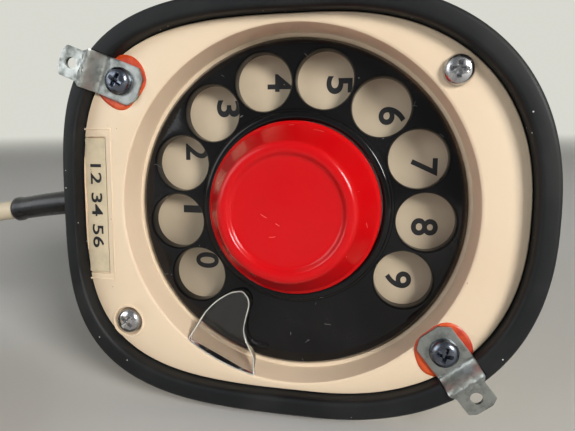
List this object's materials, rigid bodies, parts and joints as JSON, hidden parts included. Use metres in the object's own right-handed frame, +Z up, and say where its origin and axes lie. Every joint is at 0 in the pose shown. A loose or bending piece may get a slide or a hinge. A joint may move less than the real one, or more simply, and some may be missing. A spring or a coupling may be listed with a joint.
{
  "type": "rotary telephone",
  "caption": "One-piece upright telephone lying on its side: moulded handset body with a finger dial, a hook button and a rubber ring in its base, and a line cord with a plug.",
  "frame": {"origin": "middle of the telephone's box (without cord) on the table it lies on", "axes": "+Z up from the table; the base faces -Y and the head +Y; +X to the telephone's front, where the microphone and the ear face are"},
  "size_m": [0.196, 0.3058, 0.0971],
  "materials": {
    "ivory_plastic": "gloss",
    "cream_plastic": "satin",
    "black_rubber": "matt",
    "paper": "matt",
    "red_wax": "satin",
    "zinc_steel": "plated",
    "screw_steel": "satin",
    "black_plastic": "gloss",
    "gold_plate": "satin",
    "clear_plastic": "clear",
    "brass": "satin",
    "spring_steel": "satin",
    "red_plastic": "gloss",
    "phenolic": "matt",
    "copper_winding": "satin",
    "capsule_metal": "satin",
    "cord_ivory": "satin"
  },
  "bodies": {
    "body": {"shell": "ivory_plastic", "rubber_ring": "black_rubber", "base_plate": "cream_plastic", "label_card": "paper", "sealing_wax": "red_wax", "base_screws": "screw_steel", "bracket_screws": "screw_steel", "bracket_front": "zinc_steel", "bracket_rear": "zinc_steel", "number_plate": "gold_plate", "finger_stop": "clear_plastic", "dial_frame": "zinc_steel", "dial_bridge": "zinc_steel", "dial_screws": "screw_steel", "mainspring": "spring_steel", "governor_drum": "brass", "governor_bracket": "zinc_steel", "pulse_contacts": "phenolic", "button_spring": "spring_steel", "lever_pin": "spring_steel", "lever_bracket": "zinc_steel", "hook_contacts": "phenolic", "chassis": "zinc_steel", "coil_core": "spring_steel", "coil_winding": "copper_winding", "capacitor": "capsule_metal", "capacitor_clip": "zinc_steel", "terminal_block": "phenolic", "terminal_screws": "brass", "transmitter": "capsule_metal", "transmitter_gasket": "black_rubber", "transmitter_cradle": "phenolic", "receiver_gasket": "black_rubber", "receiver": "capsule_metal", "receiver_cup": "phenolic", "receiver_leads": "cord_ivory", "cord_clamp": "zinc_steel", "cord_sleeve": "black_rubber", "line_cord": "cord_ivory", "cord_coil": "cord_ivory", "line_plug": "cord_ivory", "plug_pins": "brass"},
    "dial": {"finger_wheel": "black_plastic", "wheel_rim": "black_plastic", "wheel_hub": "zinc_steel", "wheel_collar": "black_plastic", "dial_shaft": "brass", "main_gear": "brass"},
    "pulse": {"pulse_shaft": "brass"},
    "governor": {"governor_shaft": "spring_steel", "governor_weights": "brass"},
    "button": {"hook_button": "red_plastic", "button_plunger": "black_plastic", "plunger_clip": "spring_steel"},
    "lever": {"hook_lever": "zinc_steel"}
  },
  "joints": [
    {"name": "dial_turn", "type": "hinge", "parent": "body", "child": "dial", "pos_m": [-0.00062, -0.10323, 0.04886], "axis": [0, 0.9969, -0.079], "range_deg": [0, 312], "stiffness_Nm_per_rad": 0.004, "springref_deg": -68.75, "deforming": ["mainspring"]},
    {"name": "pulse_turn", "type": "hinge", "parent": "body", "child": "pulse", "pos_m": [-0.02184, -0.08831, 0.05996], "axis": [0, 0.9969, -0.079], "range_deg": [-1570, 10]},
    {"name": "governor_turn", "type": "hinge", "parent": "body", "child": "governor", "pos_m": [-0.02816, -0.08603, 0.06344], "axis": [0.5, 0.0684, 0.8633], "range_deg": [-10, 6250]},
    {"name": "hook_press", "type": "slide", "parent": "body", "child": "button", "axis": [0, 0.9969, -0.079], "range_m": [0, 0.0035], "stiffness_N_per_m": 150, "springref_m": -0.005, "deforming": ["button_spring"]},
    {"name": "lever_tip", "type": "hinge", "parent": "body", "child": "lever", "pos_m": [-0.01662, -0.07024, 0.04624], "axis": [0, 0.079, 0.9969], "range_deg": [0, 16.2]}
  ],
  "couplings": [
    {"joint": "pulse_turn", "follows": "dial_turn", "ratio": -5},
    {"joint": "governor_turn", "follows": "dial_turn", "ratio": 20},
    {"joint": "lever_tip", "follows": "hook_press", "rad_per_m": 80}
  ]
}
